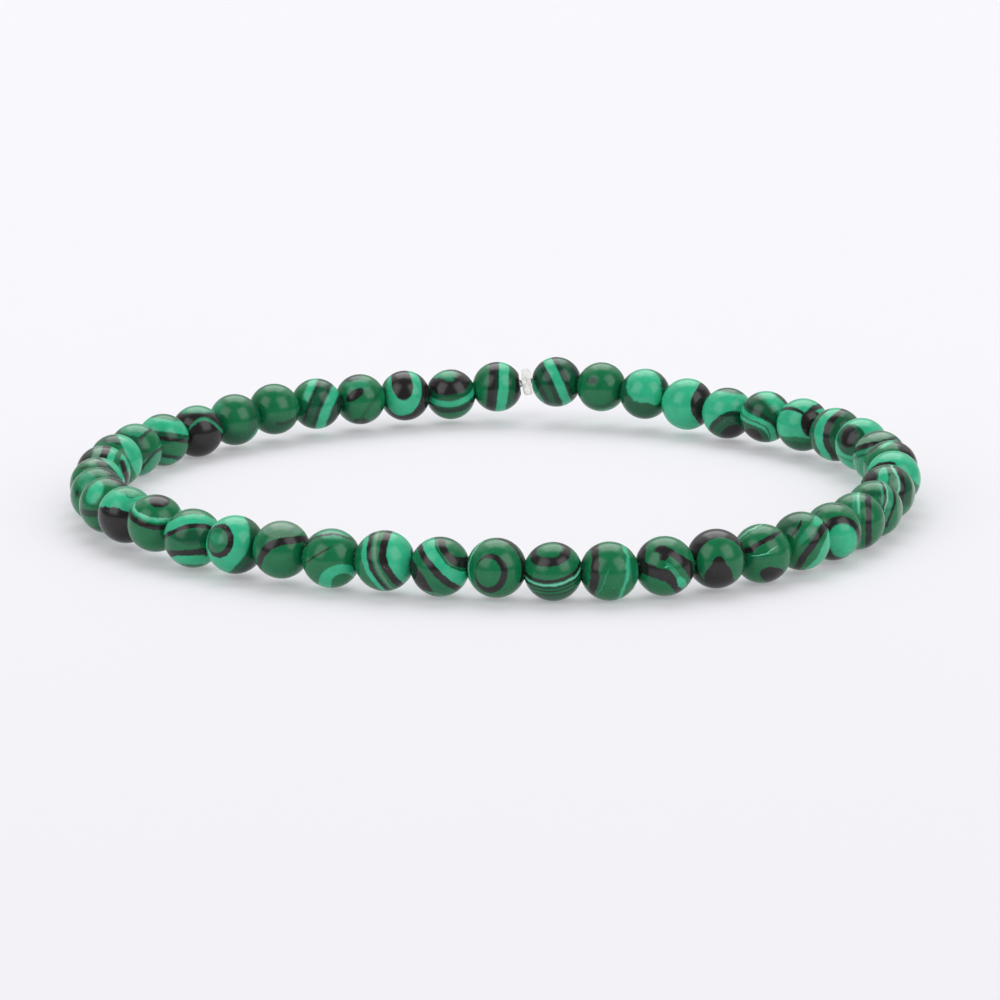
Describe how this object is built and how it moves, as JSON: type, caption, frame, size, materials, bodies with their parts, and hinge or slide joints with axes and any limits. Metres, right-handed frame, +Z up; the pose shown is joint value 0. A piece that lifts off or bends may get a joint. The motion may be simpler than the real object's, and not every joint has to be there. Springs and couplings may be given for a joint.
{
  "type": "beaded bracelet",
  "caption": "Stretch bracelet of small round banded green and black stone beads on clear elastic, tied in a small knot, lying flat as an open loop.",
  "frame": {"origin": "middle of the loop's outline, at the surface that the beads rest on", "axes": "+Z up, through the wrist opening; +X along the loop's widest way; +Y towards the knot, which is at the back"},
  "size_m": [0.0618, 0.0584, 0.0053],
  "materials": {
    "banded_stone": "polished green and black banded stone, each bead with its own bands",
    "clear_elastic": "clear elastic jewellery thread, slightly milky"
  },
  "bodies": {
    "root": {"bead_01": "banded_stone", "bead_02": "banded_stone", "bead_03": "banded_stone", "bead_04": "banded_stone", "bead_05": "banded_stone", "bead_06": "banded_stone", "bead_07": "banded_stone", "bead_08": "banded_stone", "bead_09": "banded_stone", "bead_10": "banded_stone", "bead_11": "banded_stone", "bead_12": "banded_stone", "bead_13": "banded_stone", "bead_14": "banded_stone", "bead_15": "banded_stone", "bead_16": "banded_stone", "bead_17": "banded_stone", "bead_18": "banded_stone", "bead_19": "banded_stone", "bead_20": "banded_stone", "bead_21": "banded_stone", "bead_22": "banded_stone", "bead_23": "banded_stone", "bead_24": "banded_stone", "bead_25": "banded_stone", "bead_26": "banded_stone", "bead_27": "banded_stone", "bead_28": "banded_stone", "bead_29": "banded_stone", "bead_30": "banded_stone", "bead_31": "banded_stone", "bead_32": "banded_stone", "bead_33": "banded_stone", "bead_34": "banded_stone", "bead_35": "banded_stone", "bead_36": "banded_stone", "bead_37": "banded_stone", "bead_38": "banded_stone", "bead_39": "banded_stone", "bead_40": "banded_stone", "bead_41": "banded_stone", "bead_42": "banded_stone", "bead_43": "banded_stone", "bead_44": "banded_stone", "bead_45": "banded_stone", "bead_46": "banded_stone", "elastic_thread": "clear_elastic", "knot": "clear_elastic"}
  },
  "joints": []
}
